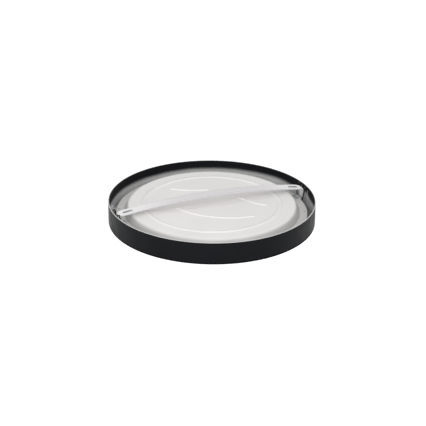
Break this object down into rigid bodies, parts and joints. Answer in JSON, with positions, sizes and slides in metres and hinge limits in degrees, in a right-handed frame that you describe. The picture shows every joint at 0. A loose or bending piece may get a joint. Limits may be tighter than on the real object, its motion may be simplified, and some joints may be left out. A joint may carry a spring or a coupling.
{
  "type": "round flush-mount ceiling light",
  "caption": "Slim round ceiling light lying on its face: black trim ring, opal disc, white pressed back pan, bowed mounting strap held by pairs of torsion springs.",
  "frame": {"origin": "centre of the light's face, on the surface it lies on", "axes": "+Z out of the open back, towards the ceiling; X along the mounting strap; -Y the terminal's side"},
  "size_m": [0.3, 0.3, 0.041],
  "materials": {
    "ring_black": "satin black powder paint outside, bare sheet low inside",
    "opal": "opal, slightly glossy",
    "foam": "matt foam",
    "white_plastic": "moulded white",
    "zinc_screws": "bright zinc",
    "zinc": "bright zinc",
    "board_white": "white solder resist",
    "led_yellow": "phosphor",
    "film_white": "matt film",
    "brass": "plain",
    "lead_red": "insulation",
    "pan_white": "satin white paint on pressed sheet",
    "rubber_black": "matt",
    "driver_plastic": "moulded white",
    "pcb_green": "solder resist",
    "transformer": "ferrite and tape",
    "capacitor": "sleeve",
    "copper": "enamelled winding",
    "chip_black": "moulded",
    "lead_mains": "insulation",
    "lead_earth": "insulation",
    "tinned": "tinned",
    "terminal_white": "moulded white",
    "button": "moulded orange",
    "strap_white": "satin white paint",
    "spring_wire": "blackened spring wire"
  },
  "bodies": {
    "lamp": {"trim_ring": "ring_black", "diffuser": "opal", "edge_gasket": "foam", "reflector_frame": "white_plastic", "frame_screws": "zinc_screws", "ring_clips": "zinc", "ring_clip_screws": "zinc_screws", "led_board": "board_white", "led_chips": "led_yellow", "reflector_sheet": "film_white", "standoffs": "brass", "board_screws": "zinc_screws", "led_connector": "white_plastic", "led_leads": "lead_red", "back_pan": "pan_white", "lead_grommet": "rubber_black", "driver_case": "driver_plastic", "driver_cover": "driver_plastic", "driver_pcb": "pcb_green", "driver_transformer": "transformer", "driver_capacitors": "capacitor", "driver_choke": "copper", "driver_chips": "chip_black", "driver_screws": "zinc_screws", "mains_leads": "lead_mains", "earth_lead": "lead_earth", "earth_tag": "tinned", "earth_screw": "zinc_screws", "terminal_block": "terminal_white", "terminal_contacts": "brass", "terminal_screw": "zinc_screws", "spring_bracket_left": "zinc", "spring_bracket_right": "zinc", "bracket_screws": "zinc_screws", "spring_pins": "zinc"},
    "strap": {"mounting_strap": "strap_white"},
    "button_live": {"release_button_live": "button"},
    "button_neutral": {"release_button_neutral": "button"},
    "button_earth": {"release_button_earth": "button"},
    "leg_left_front": {"spring_leg_left_front": "spring_wire"},
    "leg_left_rear": {"spring_leg_left_rear": "spring_wire"},
    "leg_right_front": {"spring_leg_right_front": "spring_wire"},
    "leg_right_rear": {"spring_leg_right_rear": "spring_wire"}
  },
  "joints": [
    {"name": "strap_lift", "type": "slide", "parent": "lamp", "child": "strap", "axis": [0, 0, 1], "range_m": [0, 0.045]},
    {"name": "left_front_leg_spread", "type": "hinge", "parent": "lamp", "child": "leg_left_front", "pos_m": [-0.1415, -0.004, 0.01], "axis": [1, 0, 0], "range_deg": [0, 10], "stiffness_Nm_per_rad": 0.3},
    {"name": "left_rear_leg_spread", "type": "hinge", "parent": "lamp", "child": "leg_left_rear", "pos_m": [-0.1415, 0.004, 0.01], "axis": [-1, 0, 0], "range_deg": [0, 10], "stiffness_Nm_per_rad": 0.3},
    {"name": "right_front_leg_spread", "type": "hinge", "parent": "lamp", "child": "leg_right_front", "pos_m": [0.1415, -0.004, 0.01], "axis": [1, 0, 0], "range_deg": [0, 10], "stiffness_Nm_per_rad": 0.3},
    {"name": "right_rear_leg_spread", "type": "hinge", "parent": "lamp", "child": "leg_right_rear", "pos_m": [0.1415, 0.004, 0.01], "axis": [-1, 0, 0], "range_deg": [0, 10], "stiffness_Nm_per_rad": 0.3},
    {"name": "live_button_press", "type": "slide", "parent": "lamp", "child": "button_live", "axis": [0, 0, -1], "range_m": [0, 0.0011], "stiffness_N_per_m": 1500},
    {"name": "neutral_button_press", "type": "slide", "parent": "lamp", "child": "button_neutral", "axis": [0, 0, -1], "range_m": [0, 0.0011], "stiffness_N_per_m": 1500},
    {"name": "earth_button_press", "type": "slide", "parent": "lamp", "child": "button_earth", "axis": [0, 0, -1], "range_m": [0, 0.0011], "stiffness_N_per_m": 1500}
  ],
  "couplings": [
    {"joint": "left_rear_leg_spread", "follows": "left_front_leg_spread", "ratio": 1},
    {"joint": "right_rear_leg_spread", "follows": "right_front_leg_spread", "ratio": 1}
  ]
}
